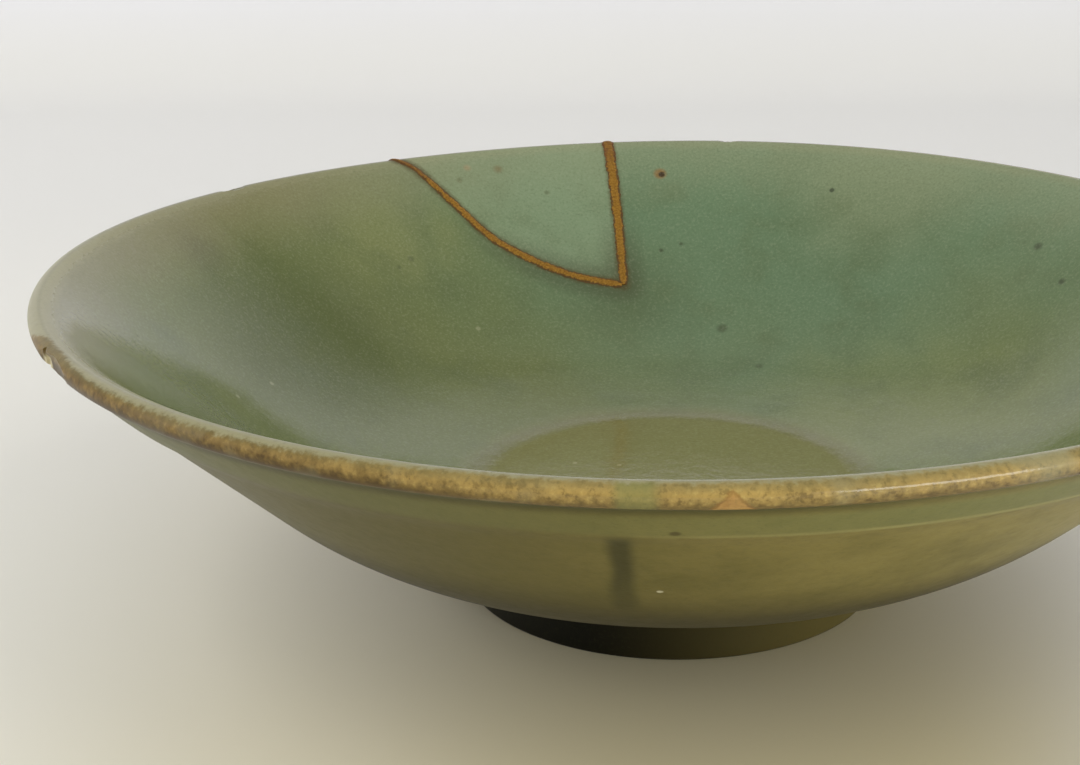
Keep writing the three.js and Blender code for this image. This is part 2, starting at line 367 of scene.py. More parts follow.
def nick_cutter(azimuth, radius, height, halves):
    """The ellipsoid that a nick takes out of the lip."""
    made = bmesh.new()
    bmesh.ops.create_icosphere(made, subdivisions=4, radius=1.0)
    mesh = bpy.data.meshes.new("nick")
    made.to_mesh(mesh)
    made.free()
    ball = bpy.data.objects.new("nick", mesh)
    bpy.context.scene.collection.objects.link(ball)
    points = points_of(ball) * np.asarray(halves)
    bumps = np.sin(points @ np.array([3.1, 2.3, 4.7])) * np.cos(points @ np.array([-2.2, 3.9, 1.3]))
    points = points * (1 + 0.07 * bumps)[:, None] + (radius, 0, height)
    turn = np.radians(azimuth)
    turned = np.stack([
        points[:, 0] * np.cos(turn) - points[:, 1] * np.sin(turn),
        points[:, 0] * np.sin(turn) + points[:, 1] * np.cos(turn),
        points[:, 2],
    ], axis=-1)
    set_points(ball, turned)
    return ball


# The break

def sherd_frame():
    """The origin and the axes of the cracks: along the rim, up the slope, out of the inside."""
    azimuth, slope = np.radians(SHERD_AZIMUTH), np.radians(INNER_SLOPES[2])
    outwards = np.array([np.cos(azimuth), np.sin(azimuth), 0.0])
    along = np.array([-np.sin(azimuth), np.cos(azimuth), 0.0])
    up_slope = outwards * np.cos(slope) + np.array([0.0, 0.0, np.sin(slope)])
    inside = ALONG < 0
    height = np.interp(SHERD_RADIUS, SECTION[inside, 0], SECTION[inside, 1])
    origin = outwards * SHERD_RADIUS + np.array([0.0, 0.0, height])
    return origin, np.stack([along, up_slope, np.cross(along, up_slope)])


def smooth_line(points, count):
    """A smooth curve through the points, as evenly spaced points."""
    given = np.asarray(points, float)
    padded = np.vstack([2 * given[0] - given[1], given, 2 * given[-1] - given[-2]])
    t = np.linspace(0, 1, 40, endpoint=False)[:, None]
    fine = [given[-1:]]
    for a, b, c, d in reversed(list(zip(padded[:-3], padded[1:-2], padded[2:-1], padded[3:]))):
        curve = b + 0.5 * t * (c - a + t * (2 * a - 5 * b + 4 * c - d + t * (3 * (b - c) + d - a)))
        fine.insert(0, curve)
    fine = np.vstack(fine)
    lengths = np.r_[0.0, np.cumsum(np.hypot(*np.diff(fine, axis=0).T))]
    even = np.linspace(0, lengths[-1], count)
    return np.stack([np.interp(even, lengths, fine[:, k]) for k in (0, 1)], axis=-1)


def sherd_cutter(name):
    """The outline of the broken piece, pushed right through the wall."""
    beyond_rim = [(STRAIGHT_CRACK[-1][0], CUTTER_TOP), (CURVED_CRACK[0][0], CUTTER_TOP)]
    curved, straight_side = smooth_line(CURVED_CRACK, 90), smooth_line(STRAIGHT_CRACK, 40)
    outline = np.vstack([curved, straight_side[1:], beyond_rim])
    count = len(outline)
    origin, axes = sherd_frame()
    layers = [
        origin + outline @ axes[:2] + depth * axes[2]
        for depth in (-CUTTER_DEPTH / 2, CUTTER_DEPTH / 2)
    ]
    faces = [tuple(range(count))[::-1], tuple(range(count, 2 * count))]
    faces += [(k, (k + 1) % count, count + (k + 1) % count, count + k) for k in range(count)]
    made = new_object(name, np.vstack(layers), faces)
    edit = bmesh.new()
    edit.from_mesh(made.data)
    bmesh.ops.triangulate(edit, faces=edit.faces)
    bmesh.ops.recalc_face_normals(edit, faces=edit.faces)
    edit.to_mesh(made.data)
    edit.free()
    return made


class Crack:
    """One leg of the crack, followed over the surface from its inside corner to its outside corner."""

    def __init__(self, line):
        across, up = line[np.argsort(line[:, 1])].T
        origin, axes = sherd_frame()
        along = np.arange(-40.0, 44.0, 0.1)
        section = section_at(along)[0]
        low, high = np.full(len(along), np.radians(75)), np.full(len(along), np.radians(145))
        for _ in range(40):
            azimuth = (low + high) / 2
            place = self.turned(section, azimuth)
            x, y = ((place - origin) @ axes[:2].T).T
            beyond = x > np.interp(y, up, across)
            low, high = np.where(beyond, low, azimuth), np.where(beyond, azimuth, high)
        kept = y >= up[0]
        place, along = place[kept], along[kept]
        lengths = np.r_[0.0, np.cumsum(np.linalg.norm(np.diff(place, axis=0), axis=1))]
        even = np.linspace(0, lengths[-1], int(lengths[-1] / SEAM_STEP))
        self.place = np.stack([np.interp(even, lengths, place[:, k]) for k in range(3)], axis=-1)
        self.along = np.interp(even, lengths, along)
        self.length = even
        turn = np.arctan2(self.place[:, 1], self.place[:, 0])
        self.normal = self.turned(section_at(self.along)[1], turn)
        ahead = np.gradient(self.place, axis=0)
        ahead /= np.linalg.norm(ahead, axis=1, keepdims=True)
        self.sideways = np.cross(self.normal, ahead)
        self.sideways /= np.linalg.norm(self.sideways, axis=1, keepdims=True)

    @staticmethod
    def turned(section, azimuth):
        radius, height = section.T
        return np.stack([radius * np.cos(azimuth), radius * np.sin(azimuth), height], axis=-1)


def waves(lengths, seed, wavelengths):
    """A wandering value of about -1 to 1 along a line, from sines of several wavelengths."""
    random = np.random.default_rng(seed)
    total = np.zeros_like(lengths)
    for wavelength in wavelengths:
        turns = lengths / wavelength * random.uniform(0.9, 1.1) + random.uniform()
        total += np.sin(2 * np.pi * turns)
    return total / np.sqrt(len(wavelengths) * 2)


def seam_leg(name, crack, half_width, seed):
    """One leg of the seam: a low gilded dome on a skirt of lacquer, with its root in the crack."""
    wander = SEAM_WANDER * waves(crack.length, seed, (9.0, 4.1, 2.3))
    ends = np.minimum(crack.length, crack.length[-1] - crack.length)
    half_width = half_width * np.clip(0.45 + 0.6 * ends, 0, 1)
    left = half_width * (1 + EDGE_WANDER * waves(crack.length, seed + 1, (6.3, 2.9, 1.3, 0.7)))
    right = half_width * (1 + EDGE_WANDER * waves(crack.length, seed + 2, (5.1, 3.3, 1.1, 0.8)))
    lumps = 1 + DOME_LUMPS * waves(crack.length, seed + 3, (3.1, 1.7, 0.9, 0.6))
    half = np.array([0.2, 0.45, 0.65, 0.8, 0.9, 0.97, 1.0])
    shares = np.concatenate([-half[::-1], [0.0], half])
    rings = []
    for share in shares:
        gold = np.where(share < 0, left, right)
        offset = share * (gold + SKIRT_WIDTH) + wander
        beside = np.clip(abs(share) * (gold + SKIRT_WIDTH) / gold, 0, 1)
        dome = DOME_HEIGHT * lumps * np.sqrt(1 - beside ** 2)
        base = crack.place + crack.sideways * offset[:, None]
        radii = np.hypot(base[:, 0], base[:, 1])
        section, normal = section_at(nearest_along(radii, base[:, 2]))
        azimuth = np.arctan2(base[:, 1], base[:, 0])
        lift = (dome + (SKIRT_HEIGHT if abs(share) < 1 else -SKIRT_SINK))[:, None]
        rings.append(Crack.turned(section + normal * lift, azimuth))
    rings.append(crack.place - crack.normal * ROOT_DEPTH)
    count, around = len(crack.place), len(rings)
    points = np.stack(rings, axis=1).reshape(-1, 3)
    faces = [tuple(range(around))[::-1], tuple((count - 1) * around + k for k in range(around))]
    for row in range(count - 1):
        for k in range(around):
            after = (k + 1) % around
            a, b = row * around, (row + 1) * around
            faces.append((a + k, a + after, b + after, b + k))
    made = new_object(name, points, faces)
    edit = bmesh.new()
    edit.from_mesh(made.data)
    bmesh.ops.recalc_face_normals(edit, faces=edit.faces)
    bmesh.ops.triangulate(edit, faces=[f for f in edit.faces if len(f.verts) > 4])
    edit.to_mesh(made.data)
    edit.free()
    return made, (left + right) / 2


def gold_seam(cracks):
    """Both legs joined at the corners inside and outside."""
    straight_crack, curved_crack = cracks
    straight_width = np.interp(straight_crack.along, STRAIGHT_WIDTHS_AT, STRAIGHT_HALF_WIDTHS)
    curved_width = np.interp(curved_crack.along, CURVED_WIDTHS_AT, CURVED_HALF_WIDTHS)
    straight_leg, straight_half = seam_leg("gold_lines", straight_crack, straight_width, 11)
    curved_leg, curved_half = seam_leg("curved_leg", curved_crack, curved_width, 23)
    cut(straight_leg, curved_leg, "UNION")
    edit = bmesh.new()
    edit.from_mesh(straight_leg.data)
    bmesh.ops.dissolve_degenerate(edit, dist=SLIVER, edges=edit.edges)
    edit.to_mesh(straight_leg.data)
    edit.free()
    points = points_of(straight_leg)
    inset = np.full(len(points), -9.0)
    for crack, half in ((straight_crack, straight_half), (curved_crack, curved_half)):
        nearest = nearest_sample(points, crack.place)
        beside = np.abs(((points - crack.place[nearest]) * crack.sideways[nearest]).sum(1))
        inset = np.maximum(inset, half[nearest] - beside)
    set_attribute(straight_leg, "inset", inset)
    set_along(straight_leg, points)
    return straight_leg


def nearest_sample(points, samples):
    tree = kdtree.KDTree(len(samples))
    for k, place in enumerate(samples):
        tree.insert(place, k)
    tree.balance()
    return np.array([tree.find(place)[1] for place in points])


def finish_glazed(piece, cracks):
    """Gives a glazed piece the distances that its material reads."""
    points = points_of(piece)
    set_along(piece, points)
    samples = np.vstack([crack.place[::4] for crack in cracks])
    nearest = nearest_sample(points, samples)
    set_attribute(piece, "from_mend", np.linalg.norm(points - samples[nearest], axis=1))


def finish_piece(piece, material, node):
    """Warps a piece as the bowl is warped, marks its sharp edges, and hands it to the frame."""
    set_points(piece, warped(points_of(piece)) * MM)
    edit = bmesh.new()
    edit.from_mesh(piece.data)
    for face in edit.faces:
        face.smooth = True
    for edge in edit.edges:
        edge.smooth = not (len(edge.link_faces) == 2 and edge.calc_face_angle(0) > SHARP_ANGLE)
    edit.to_mesh(piece.data)
    edit.free()
    piece.data.materials.clear()
    piece.data.materials.append(material)
    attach(piece, "root")
    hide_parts(node)


# Materials

def colour(red, green, blue):
    """A colour given as it looks on screen, 0 to 255, in Blender's linear values."""
    shares = np.array([red, green, blue]) / 255
    linear = np.where(shares <= 0.04045, shares / 12.92, ((shares + 0.055) / 1.055) ** 2.4)
    return (*linear.tolist(), 1.0)


INNER_OLIVE = colour(103, 112, 62)
INNER_BLUE = colour(98, 122, 90)
INNER_CLOUD = colour(84, 96, 58)
MILKY = colour(146, 162, 128)
MILKY_SHARE = 0.42
WELL_COLOUR = colour(127, 123, 76)
# Painted shade for the ring on the well's step
WELL_STEP_PAINTED_SHADE = colour(84, 86, 50)
RIM_BLUE = colour(134, 144, 112)
RIM_TAN = colour(142, 132, 98)
# A painted highlight: the pale line along the lip's crest, inside and over the top
CREST_PAINTED_HIGHLIGHT = colour(152, 148, 112)
OUTER_OLIVE = colour(80, 75, 27)
# Warmer glaze at the right, partly painted light from the right
OUTER_WARM_PAINTED_LIGHT = colour(152, 140, 80)
OUTER_CLOUD = colour(88, 84, 34)
OUTER_SPECKLE = colour(64, 60, 26)
# Painted shade low on the outer wall
OUTER_LOW_PAINTED_SHADE = colour(40, 36, 12)
# Painted shade in the groove under the lip
UNDER_LIP_PAINTED_SHADE = colour(58, 60, 30)
BAND_COLOUR = colour(114, 122, 76)
# A painted highlight along the ridge at the foot of the band
RIDGE_PAINTED_HIGHLIGHT = colour(156, 152, 98)
SMEAR_COLOUR = colour(48, 48, 10)
# The foot's colour, painted in shade at its left and lit at its right
FOOT_PAINTED_SHADE = colour(12, 12, 6)
FOOT_PAINTED_LIGHT = colour(98, 88, 46)
LIP_OCHRE = colour(160, 136, 76)
LIP_BROWN = colour(104, 80, 30)
LIP_PALE = colour(188, 158, 88)
LIP_DARK = colour(66, 48, 14)
LIP_GLINT = colour(208, 184, 110)
# Painted shade darkening the top of the lip's roll
LIP_TOP_PAINTED_SHADE = colour(112, 106, 66)
LIP_GREEN = colour(118, 124, 72)
CHIP_MIDDLE = 5.8
CHIP_CLAY = colour(204, 164, 96)
CHIP_EDGE = colour(142, 102, 48)
WIDE_HALO = colour(60, 58, 30)
CLOSE_HALO = colour(76, 64, 24)
GRAIN_DARK = colour(60, 64, 36)
GRAIN_PALE = colour(172, 176, 146)
LACQUER = colour(88, 62, 20)
LACQUER_AT_RIM = colour(96, 58, 24)
POWDER_DARK = colour(150, 107, 38)
POWDER_PALE = colour(190, 143, 60)
FLOOR_LEFT = colour(240, 239, 230)
FLOOR_MIDDLE = colour(228, 220, 192)
FLOOR_RIGHT = colour(243, 243, 242)
# Painted shade on the floor in front of the foot
FLOOR_PAINTED_SHADE_NEAR_FOOT = colour(208, 196, 150)
FLOOR_AWAY = colour(228, 228, 225)
WALL_LOW = colour(231, 232, 241)
WALL_HIGH = colour(150, 152, 158)

# The glaze's shine: where it is thick, and where it is thin or outside
GLAZE_IOR = 1.55
THICK_LEVEL = 0.5
THIN_LEVEL = 0.18
THIN_ROUGHNESS = 0.32
PAINT_ROUGHNESS = 0.55
PAINT_LEVEL = 0.3

# Soft patches inside: radius, azimuth, size, fade, share and tint
INNER_PATCHES = (
    (61.0, 159.0, 17.0, 18.0, 0.6, colour(78, 88, 42)),
    (76.7, 161.0, 4.0, 7.0, 0.5, colour(66, 74, 38)),
    (57.3, 97.0, 7.0, 14.0, 0.5, colour(74, 86, 52)),
    (72.0, 131.0, 9.0, 14.0, 0.5, colour(128, 132, 82)),
    (40.0, 30.0, 18.0, 24.0, 0.5, colour(120, 128, 78)),
    (77.0, 62.0, 14.0, 16.0, 0.35, colour(134, 136, 100)),
)

# Marks: whether inside, radius, azimuth, size, fade, share and tint
MARKS = (
    (True, 77.1, 91.5, 1.0, 0.9, 0.75, colour(132, 92, 40)),
    (True, 77.0, 91.3, 0.55, 0.4, 0.9, colour(46, 32, 14)),
    (True, 65.0, 91.5, 0.35, 0.5, 0.7, colour(52, 58, 34)),
    (True, 66.0, 88.5, 0.25, 0.5, 0.6, colour(52, 58, 34)),
    (True, 75.4, 68.3, 0.45, 0.4, 0.8, colour(50, 58, 40)),
    (True, 72.2, 36.4, 0.7, 0.8, 0.7, colour(58, 64, 44)),
    (True, 68.7, 29.0, 0.6, 0.6, 0.7, colour(58, 64, 44)),
    (True, 52.1, 80.4, 0.8, 0.9, 0.6, colour(58, 66, 38)),
    (True, 44.1, 70.8, 0.6, 0.7, 0.5, colour(58, 66, 38)),
    (True, 74.9, 107.1, 0.3, 0.6, 0.5, colour(80, 84, 52)),
    (True, 67.3, 130.4, 0.5, 0.7, 0.45, colour(72, 80, 50)),
    (True, 66.4, 133.0, 0.4, 0.6, 0.4, colour(72, 80, 50)),
    (True, 78.1, 118.4, 0.5, 0.7, 0.45, colour(92, 90, 54)),
    (True, 79.3, 112.8, 0.8, 1.2, 0.5, colour(112, 84, 44)),
    (True, 80.0, 116.8, 0.6, 0.9, 0.5, colour(158, 132, 98)),
    (True, 55.0, 125.4, 0.4, 0.4, 0.45, colour(160, 162, 126)),
    (True, 60.6, -176.4, 0.4, 0.3, 0.45, colour(176, 176, 142)),
    (True, 58.6, 173.0, 0.35, 0.3, 0.45, colour(170, 170, 136)),
    (True, 9.7, 139.2, 0.35, 0.3, 0.45, colour(178, 172, 130)),
    (True, 15.5, 153.3, 0.35, 0.3, 0.45, colour(178, 172, 130)),
    (False, 64.9, -90.8, 0.35, 0.25, 0.9, colour(208, 204, 178)),
    (False, 79.3, -89.6, 0.5, 0.5, 0.7, colour(66, 56, 26)),
)

# Bare or stained clay in the nicks: place, size, fade and tint
NICK_MARKS = (
    ((-72.1, -43.3, 44.3), 1.3, 0.8, colour(200, 190, 156)),
)


class Material:
    """A material's nodes, with short ways to add those that the materials here use."""

    def __init__(self, name):
        self.material = bpy.data.materials.new(name)
        self.material.use_nodes = True
        self.tree = self.material.node_tree
        self.tree.nodes.clear()
        self.shader = self.add("BsdfPrincipled")
        self.output = self.add("OutputMaterial")
        self.tree.links.new(self.shader.outputs[0], self.output.inputs[0])
        metres = self.add("TexCoord").outputs["Object"]
        scaled = self.add("VectorMath", operation="SCALE")
        self.put(scaled.inputs[0], metres)
        scaled.inputs["Scale"].default_value = 1 / MM
        self.place = scaled.outputs[0]
        split = self.add("SeparateXYZ")
        self.put(split.inputs[0], self.place)
        self.x, self.y, self.z = split.outputs
        self.radius = self.math("SQRT", self.scaled(self.x, self.x, self.times(self.y, self.y)))

    def add(self, kind, **settings):
        made = self.tree.nodes.new("ShaderNode" + kind)
        for name, value in settings.items():
            setattr(made, name, value)
        return made

    def put(self, socket, value):
        if isinstance(value, bpy.types.NodeSocket):
            self.tree.links.new(value, socket)
        else:
            socket.default_value = value

    def math(self, operation, *values):
        made = self.add("Math", operation=operation)
        for socket, value in zip(made.inputs, values):
            self.put(socket, value)
        return made.outputs[0]

    def times(self, value, factor):
        return self.math("MULTIPLY", value, factor)

    def scaled(self, value, factor, shift):
        """A value times a factor, plus a shift."""
        return self.math("MULTIPLY_ADD", value, factor, shift)

    def ramp(self, value, low, high, to_low=0.0, to_high=1.0):
        """A value eased from one level to another between two limits."""
        made = self.add("MapRange", interpolation_type="SMOOTHSTEP")
        for socket, given in zip(made.inputs, (value, low, high, to_low, to_high)):
            self.put(socket, given)
        return made.outputs[0]

    def band(self, value, low, high, fade):
        """1 between two limits, fading to 0 outside them."""
        rise = self.ramp(value, low - fade, low + fade)
        return self.times(rise, self.ramp(value, high - fade, high + fade, 1.0, 0.0))

    def mix(self, share, below, above):
        made = self.add("Mix", data_type="RGBA")
        self.put(made.inputs["Factor"], share)
        self.put(made.inputs[6], below)
        self.put(made.inputs[7], above)
        return made.outputs[2]

    def noise(self, size, detail=2.0, roughness=0.5, place=None):
        """Noise around 0.5, with features about as large as size, in millimetres."""
        made = self.add("TexNoise")
        self.put(made.inputs["Vector"], self.place if place is None else place)
        made.inputs["Scale"].default_value = 1 / size
        made.inputs["Detail"].default_value = detail
        made.inputs["Roughness"].default_value = roughness
        return made.outputs[0]

    def attribute(self, name):
        return self.add("Attribute", attribute_name=name).outputs["Fac"]

    def distance_to(self, point):
        made = self.add("VectorMath", operation="DISTANCE")
        self.put(made.inputs[0], self.place)
        made.inputs[1].default_value = point
        return made.outputs["Value"]

    def towards(self, azimuth):
        """How far out a point is in a direction, in millimetres."""
        made = self.add("VectorMath", operation="DOT_PRODUCT")
        self.put(made.inputs[0], self.place)
        turn = np.radians(azimuth)
        made.inputs[1].default_value = (float(np.cos(turn)), float(np.sin(turn)), 0.0)
        return made.outputs["Value"]

    def bump(self, height, distance, below=None):
        """Relief from a height of 0 to 1 that stands for a distance in millimetres."""
        made = self.add("Bump")
        made.inputs["Strength"].default_value = 1.0
        made.inputs["Distance"].default_value = distance * MM
        self.put(made.inputs["Height"], height)
        if below is not None:
            self.put(made.inputs["Normal"], below)
        return made.outputs[0]


def surface_point(radius, azimuth, inside=True):
    """A point of the warped surface, at a radius and an azimuth."""
    chosen = ALONG < 0 if inside else (ALONG > OUTSIDE_FROM) & (SECTION[:, 1] > FOOT_HEIGHT)
    order = np.argsort(SECTION[chosen, 0])
    height = np.interp(radius, SECTION[chosen, 0][order], SECTION[chosen, 1][order])
    turn = np.radians(azimuth)
    place = warped(np.array([[radius * np.cos(turn), radius * np.sin(turn), height]]))[0]
    return tuple(place.tolist())


class Glaze(Material):
    """The glaze of the bowl and of its mended piece, inside, over the lip and outside."""

    def __init__(self, name, milky):
        super().__init__(name)
        self.along = self.attribute("along")
        self.inside = self.ramp(self.along, -0.5, 0.3, 1.0, 0.0)
        self.wide = self.noise(34.0)
        self.middle = self.noise(9.0, 3.0)
        self.small = self.noise(1.5, 3.0, 0.6)
        self.wander = self.scaled(self.wide, 40.0, -20.0)
        glaze = self.mix(self.inside, self.outer_colour(), self.inner_colour(milky))
        glaze = self.over_lip(glaze)
        glaze = self.marks(glaze)
        from_mend = self.attribute("from_mend")
        low_down = self.ramp(self.along, -30.0, -12.0, 0.4, 0.0)
        wide_halo = self.times(self.ramp(from_mend, 1.5, 5.0, 1.0, 0.0), low_down)
        glaze = self.mix(wide_halo, glaze, WIDE_HALO)
        close_halo = self.ramp(self.scaled(self.small, 0.8, from_mend), 0.9, 2.1, 0.75, 0.0)
        glaze = self.mix(close_halo, glaze, CLOSE_HALO)
        grain = self.noise(0.45, 2.0, 0.7)
        glaze = self.mix(self.ramp(grain, 0.5, 0.75, 0.0, 0.2), glaze, GRAIN_DARK)
        pale_grain = self.times(self.ramp(grain, 0.5, 0.3, 0.0, 0.13), self.inside)
        glaze = self.mix(pale_grain, glaze, GRAIN_PALE)
        relief = self.relief()
        duller = self.add("BsdfPrincipled")
        dryness = self.ramp(self.x, -30.0, 5.0, 0.22, 0.03)
        dry_lip = self.scaled(self.ramp(self.along, -4.5, -0.5), dryness, 0.06)
        looks = ((self.shader, dry_lip, THICK_LEVEL), (duller, THIN_ROUGHNESS, THIN_LEVEL))
        for shader, dull, level in looks:
            self.put(shader.inputs["Base Color"], glaze)
            self.put(shader.inputs["Roughness"], self.scaled(self.small, 0.1, dull))
            self.put(shader.inputs["Normal"], relief)
            shader.inputs["Specular IOR Level"].default_value = level
            shader.inputs["IOR"].default_value = GLAZE_IOR
        both = self.add("MixShader")
        thin = self.times(self.thin, self.ramp(self.x, -30.0, -5.0, 0.8, 0.25))
        self.put(both.inputs[0], self.math("MAXIMUM", self.ramp(self.along, 3.4, 5.0), thin))
        self.tree.links.new(self.shader.outputs[0], both.inputs[1])
        self.tree.links.new(duller.outputs[0], both.inputs[2])
        self.tree.links.new(both.outputs[0], self.output.inputs[0])

    def near(self, point, size, fade):
        """1 within a distance of a point, fading to 0; its edge wanders."""
        away = self.scaled(self.middle, fade, self.math("SUBTRACT", self.distance_to(point), fade / 2))
        return self.ramp(away, size - fade / 2, size + fade / 2, 1.0, 0.0)

    def inner_colour(self, milky):
        """Olive at the left, blue-green at the back, warmer in the well, and paler towards the rim,
        with painted shade on the well's step and a painted highlight inside the crest.
        """
        blue = self.ramp(self.math("ADD", self.towards(72.0), self.wander), 22.0, 66.0)
        shade = self.mix(blue, INNER_OLIVE, INNER_BLUE)
        if milky:
            shade = self.mix(MILKY_SHARE, shade, MILKY)
        for radius, azimuth, size, fade, share, tint in INNER_PATCHES:
            mask = self.near(surface_point(radius, azimuth), size, fade)
            shade = self.mix(self.times(mask, share), shade, tint)
        shade = self.mix(self.ramp(self.middle, 0.42, 0.8, 0.0, 0.4), shade, INNER_CLOUD)
        from_middle = self.scaled(self.middle, 1.5, self.radius)
        well = self.ramp(from_middle, WELL_RADIUS - 2.8, WELL_RADIUS + 3.2, 0.85, 0.0)
        shade = self.mix(well, shade, WELL_COLOUR)
        # Painted shade: a darker ring on the well's step
        step_shade_inside = self.ramp(self.radius, WELL_RADIUS - 4.2, WELL_RADIUS - 2.2, 0.0, 0.3)
        step_shade_outside = self.ramp(self.radius, WELL_RADIUS - 1.2, WELL_RADIUS + 0.8, 1.0, 0.0)
        shade = self.mix(self.times(step_shade_inside, step_shade_outside), shade, WELL_STEP_PAINTED_SHADE)
        rim_tint = self.mix(self.ramp(self.towards(180.0), 20.0, 75.0), RIM_BLUE, RIM_TAN)
        broad = self.ramp(self.scaled(self.middle, 6.0, self.along), -14.0, 1.0, 0.0, 0.55)
        shade = self.mix(broad, shade, rim_tint)
        # A painted highlight along the inside of the crest, stronger at the front
        front = self.ramp(self.y, -10.0, 45.0, 0.85, 0.25)
        edge = self.ramp(self.scaled(self.middle, 1.6, self.along), -2.4, -0.1)
        return self.mix(self.times(edge, front), shade, CREST_PAINTED_HIGHLIGHT)

    def outer_colour(self):
        """Brownish olive, warmer at the right and partly painted lighter there, with painted shade
        under the lip and low down, a painted highlight on the ridge, and painted shade and light on the
        foot.
        """
        # Warmer and lighter at the right: partly the glaze's tone and partly painted light
        warm_lit_side = self.ramp(self.math("ADD", self.x, self.wander), -50.0, 60.0)
        shade = self.mix(warm_lit_side, OUTER_OLIVE, OUTER_WARM_PAINTED_LIGHT)
        shade = self.mix(self.ramp(self.middle, 0.38, 0.78, 0.0, 0.5), shade, OUTER_CLOUD)
        shade = self.mix(self.ramp(self.small, 0.4, 0.75, 0.0, 0.15), shade, OUTER_SPECKLE)
        # Painted shade in the groove under the lip's roll, stronger at the left
        to_left = self.ramp(self.x, 5.0, 50.0, 0.75, 0.3)
        shade_under_lip = self.times(self.ramp(self.along, 4.8, 7.2, 1.0, 0.0), to_left)
        shade = self.mix(shade_under_lip, shade, UNDER_LIP_PAINTED_SHADE)
        to_right = self.ramp(self.x, -10.0, 30.0, 0.3, 0.65)
        on_band = self.times(self.band(self.along, 6.4, 11.4, 0.9), to_right)
        shade = self.mix(on_band, shade, BAND_COLOUR)
        # A painted highlight along the ridge under the band, on the right side only
        ridge_lit_side = self.times(self.ramp(self.x, -8.0, 12.0), self.ramp(self.middle, 0.3, 0.6, 0.55, 1.0))
        ridge_highlight = self.times(self.band(self.along, 11.1, 11.8, 0.35), ridge_lit_side)
        shade = self.mix(ridge_highlight, shade, RIDGE_PAINTED_HIGHLIGHT)
        # Painted shade: the outer wall darkens towards the foot
        shade = self.mix(self.ramp(self.radius, 55.0, 66.0, 0.8, 0.0), shade, OUTER_LOW_PAINTED_SHADE)
        # Painted shade and light on the foot: near black at the left, lit olive brown at the right
        foot_shade_and_light = self.mix(self.ramp(self.x, -12.0, 26.0), FOOT_PAINTED_SHADE, FOOT_PAINTED_LIGHT)
        on_foot = self.ramp(self.z, FOOT_HEIGHT - 0.4, FOOT_HEIGHT + 0.4, 1.0, 0.0)
        return self.mix(on_foot, shade, foot_shade_and_light)

    def over_lip(self, glaze):
        """The thin glaze of the rolled lip: a painted highlight on the crest, painted shade on the top
        of the roll, then ochre, darker at the left.
        """
        left = self.ramp(self.math("ADD", self.x, self.wander), -55.0, 8.0, 1.0, 0.0)
        fringe = self.noise(0.7, 3.0, 0.6)
        ragged = self.scaled(fringe, 1.5, self.scaled(self.small, 0.8, self.along))
        # A painted highlight along the crest, stronger at the front
        crest = self.times(self.ramp(self.along, -0.6, 0.3), self.ramp(ragged, 4.6, 5.2, 1.0, 0.0))
        crest = self.times(crest, self.ramp(self.y, -10.0, 45.0, 0.9, 0.4))
        glaze = self.mix(crest, glaze, CREST_PAINTED_HIGHLIGHT)
        start = self.scaled(self.band(self.x, -66.0, -30.0, 9.0), 0.45, 1.5)
        by_the_nick = self.times(self.ramp(self.x, -64.0, -71.0), self.ramp(self.y, -38.0, -41.0))
        start = self.scaled(by_the_nick, -0.5, start)
        far_left = self.times(self.ramp(self.x, -50.0, -62.0), self.ramp(self.y, -42.0, -34.0))
        start = self.scaled(far_left, 1.9, start)
        tone = self.mix(left, LIP_OCHRE, LIP_BROWN)
        patchy = self.ramp(self.noise(3.2, 3.0, 0.65), 0.4, 0.64)
        paler = self.times(patchy, self.ramp(left, 0.0, 1.0, 0.7, 0.3))
        tone = self.mix(paler, tone, LIP_PALE)
        tone = self.mix(self.ramp(fringe, 0.5, 0.68, 0.0, 0.4), tone, LIP_DARK)
        glints = self.times(self.ramp(fringe, 0.46, 0.3), self.ramp(left, 0.0, 1.0, 0.35, 0.12))
        tone = self.mix(glints, tone, LIP_GLINT)
        # Painted shade: the top of the roll is darkened where light from above falls strongest
        tone = self.mix(self.ramp(self.along, 0.7, 1.9, 0.55, 0.0), tone, LIP_TOP_PAINTED_SHADE)
        lower = self.ramp(self.scaled(left, 0.35, ragged), 2.9, 4.5)
        lower = self.times(lower, self.ramp(left, 0.0, 1.0, 0.65, 0.95))
        tone = self.mix(lower, tone, LIP_DARK)
        bare = self.math("MAXIMUM", self.ramp(self.noise(9.0, 2.0), 0.34, 0.48, 0.45, 1.0), left)
        rise = self.ramp(self.math("SUBTRACT", ragged, start), -0.3, 0.5)
        roll = self.times(rise, self.ramp(ragged, 4.9, 5.9, 1.0, 0.0))
        green = self.band(self.scaled(self.middle, 3.0, self.x), -3.2, 0.6, 0.8)
        green = self.times(green, self.ramp(self.y, -60.0, -70.0, 0.0, 0.6))
        tone = self.mix(green, tone, LIP_GREEN)
        self.thin = self.times(roll, bare)
        return self.chip(self.mix(self.thin, glaze, tone), fringe)

    def chip(self, glaze, fringe):
        """The clay chip on the front of the lip: a triangle with its point on top and a darker brown
        edge.
        """
        off_middle = self.math("ABSOLUTE", self.math("SUBTRACT", self.x, CHIP_MIDDLE))
        reach = self.math("SUBTRACT", self.scaled(self.along, 0.95, -1.3), off_middle)
        reach = self.scaled(fringe, 0.9, reach)
        above = self.ramp(self.along, 4.2, 4.8, 1.0, 0.0)
        front = self.times(self.ramp(self.y, -80.0, -78.0, 1.0, 0.0), above)
        darker_rim = self.times(self.ramp(reach, 0.0, 0.5), front)
        clay = self.times(self.ramp(reach, 0.5, 0.9), front)
        glaze = self.mix(self.times(darker_rim, 0.6), glaze, CHIP_EDGE)
        return self.mix(clay, glaze, self.mix(self.small, CHIP_CLAY, CHIP_EDGE))

